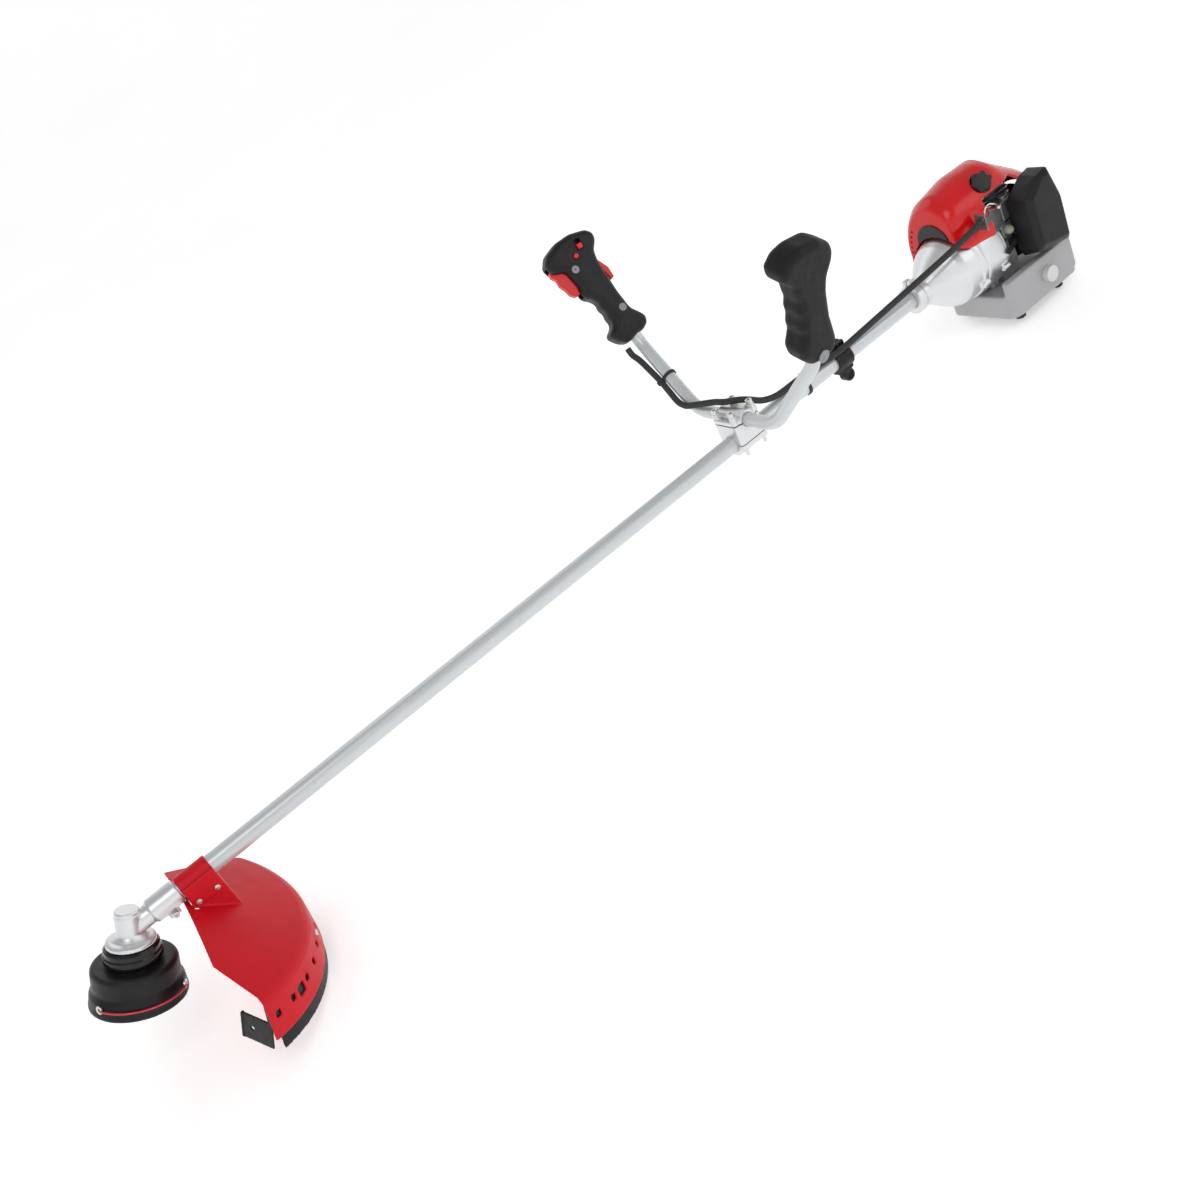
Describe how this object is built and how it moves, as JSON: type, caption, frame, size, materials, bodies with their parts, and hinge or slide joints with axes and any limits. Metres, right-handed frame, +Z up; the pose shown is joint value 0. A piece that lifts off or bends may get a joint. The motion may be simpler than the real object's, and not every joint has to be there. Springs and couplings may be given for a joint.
{
  "type": "petrol string trimmer",
  "caption": "Petrol string trimmer: long shaft, bump-feed line head under a guard, wide bike handles with a throttle grip, harness eye and rear engine.",
  "frame": {"origin": "centre of the bore of the harness eye that hangs under the shaft", "axes": "+X along the shaft towards the engine, +Z up across the shaft, +Y towards the throttle hand"},
  "size_m": [1.82, 0.5741, 0.5055],
  "materials": {
    "cast_aluminium": "satin cast",
    "tube_paint": "silver paint",
    "bar_metal": "polished",
    "steel": "machined",
    "red_gloss": "gloss",
    "black_plastic": "fine grain",
    "black_rubber": "soft grip",
    "milky_plastic": "translucent look",
    "red_nylon": "nylon line",
    "grey_cast": "dark cast"
  },
  "bodies": {
    "frame": {"gear_case": "cast_aluminium", "ball_bearings": "steel", "guard": "red_gloss", "guard_bracket": "red_gloss", "guard_skirt": "black_plastic", "line_cutter": "black_plastic", "panel_screws": "steel", "socket_screws": "steel", "shaft_tube": "tube_paint", "shaft_bushings": "black_rubber", "hanger_bracket": "black_plastic", "clamp_lower": "cast_aluminium", "clamp_middle": "cast_aluminium", "clamp_cap": "cast_aluminium", "handlebar_left": "bar_metal", "handlebar_right": "bar_metal", "left_grip": "black_rubber", "throttle_grip_inner": "black_plastic", "throttle_grip_outer": "black_plastic", "grip_plugs": "cast_aluminium", "cable_sleeve": "black_rubber", "throttle_wire": "steel", "cable_ties": "black_plastic", "clutch_housing": "cast_aluminium", "fan_case": "cast_aluminium", "crankcase": "cast_aluminium", "cylinder_block": "cast_aluminium", "spark_plug": "steel", "muffler": "steel", "engine_cover": "red_gloss", "label_plate": "black_plastic", "plug_cap": "black_rubber", "carburettor": "cast_aluminium", "filter_base": "black_plastic", "filter_cover": "black_plastic", "fuel_tank": "milky_plastic", "engine_stand": "black_plastic", "starter_case": "black_plastic"},
    "head": {"spindle": "steel", "dust_cup": "black_plastic", "head_housing": "black_plastic", "line_spool": "black_plastic", "line_eyelets": "cast_aluminium", "cutting_line": "red_nylon"},
    "bump": {"bump_knob": "black_plastic"},
    "driveline": {"drive_shaft": "steel", "pinion": "steel", "clutch_drum": "steel"},
    "crank": {"crankshaft": "steel", "flywheel": "cast_aluminium", "clutch_shoes": "grey_cast"},
    "trigger": {"throttle_trigger": "red_gloss"},
    "lockoff": {"lockoff_lever": "red_gloss"},
    "stop": {"stop_switch": "red_gloss"},
    "hold": {"hold_button": "red_gloss"},
    "throttle_arm": {"carb_lever": "steel"},
    "choke": {"choke_lever": "black_plastic"},
    "primer": {"primer_bulb": "black_rubber"},
    "cap": {"fuel_cap": "milky_plastic"},
    "starter": {"starter_grip": "black_rubber"}
  },
  "joints": [
    {"name": "head_spin", "type": "hinge", "parent": "frame", "child": "head", "pos_m": [-1.283, 0, 0.03], "axis": [0.4648, 0, 0.8854], "continuous": true},
    {"name": "bump_slide", "type": "slide", "parent": "head", "child": "bump", "axis": [0.4648, 0, 0.8854], "range_m": [0, 0.006], "stiffness_N_per_m": 1500, "springref_m": -0.004},
    {"name": "drive_spin", "type": "hinge", "parent": "frame", "child": "driveline", "pos_m": [0, 0, 0.03], "axis": [1, 0, 0], "continuous": true},
    {"name": "crank_spin", "type": "hinge", "parent": "frame", "child": "crank", "pos_m": [0.3, 0, 0.03], "axis": [1, 0, 0], "continuous": true},
    {"name": "trigger_squeeze", "type": "hinge", "parent": "frame", "child": "trigger", "pos_m": [-0.21, 0.26186, 0.31017], "axis": [0, -0.9323, 0.3616], "range_deg": [0, 16], "stiffness_Nm_per_rad": 0.08, "springref_deg": -17.19},
    {"name": "lockoff_press", "type": "hinge", "parent": "frame", "child": "lockoff", "pos_m": [-0.179, 0.2539, 0.28966], "axis": [0, 0.9323, -0.3616], "range_deg": [0, 8], "stiffness_Nm_per_rad": 0.05, "springref_deg": -11.46},
    {"name": "stop_slide", "type": "slide", "parent": "frame", "child": "stop", "axis": [0, 0.3616, 0.9323], "range_m": [0, 0.007]},
    {"name": "hold_press", "type": "slide", "parent": "frame", "child": "hold", "axis": [0, 0.9323, -0.3616], "range_m": [0, 0.0025], "stiffness_N_per_m": 400, "springref_m": -0.001},
    {"name": "throttle_arm_turn", "type": "hinge", "parent": "frame", "child": "throttle_arm", "pos_m": [0.319, -0.049, 0.1], "axis": [0, 0, -1], "range_deg": [0, 40]},
    {"name": "choke_turn", "type": "hinge", "parent": "frame", "child": "choke", "pos_m": [0.338, -0.064, 0.032], "axis": [0, -1, 0], "range_deg": [0, 50]},
    {"name": "primer_press", "type": "slide", "parent": "frame", "child": "primer", "axis": [0, 1, 0], "range_m": [0, 0.005], "stiffness_N_per_m": 300, "springref_m": -0.001},
    {"name": "cap_unscrew", "type": "hinge", "parent": "frame", "child": "cap", "pos_m": [0.369, -0.085, -0.042], "axis": [0, -1, 0], "continuous": true},
    {"name": "starter_pull", "type": "slide", "parent": "frame", "child": "starter", "axis": [0, 1, 0], "range_m": [0, 0.65], "stiffness_N_per_m": 20, "springref_m": -0.3}
  ],
  "couplings": [
    {"joint": "drive_spin", "follows": "head_spin", "ratio": -1.2667},
    {"joint": "throttle_arm_turn", "follows": "trigger_squeeze", "ratio": 2.5}
  ]
}
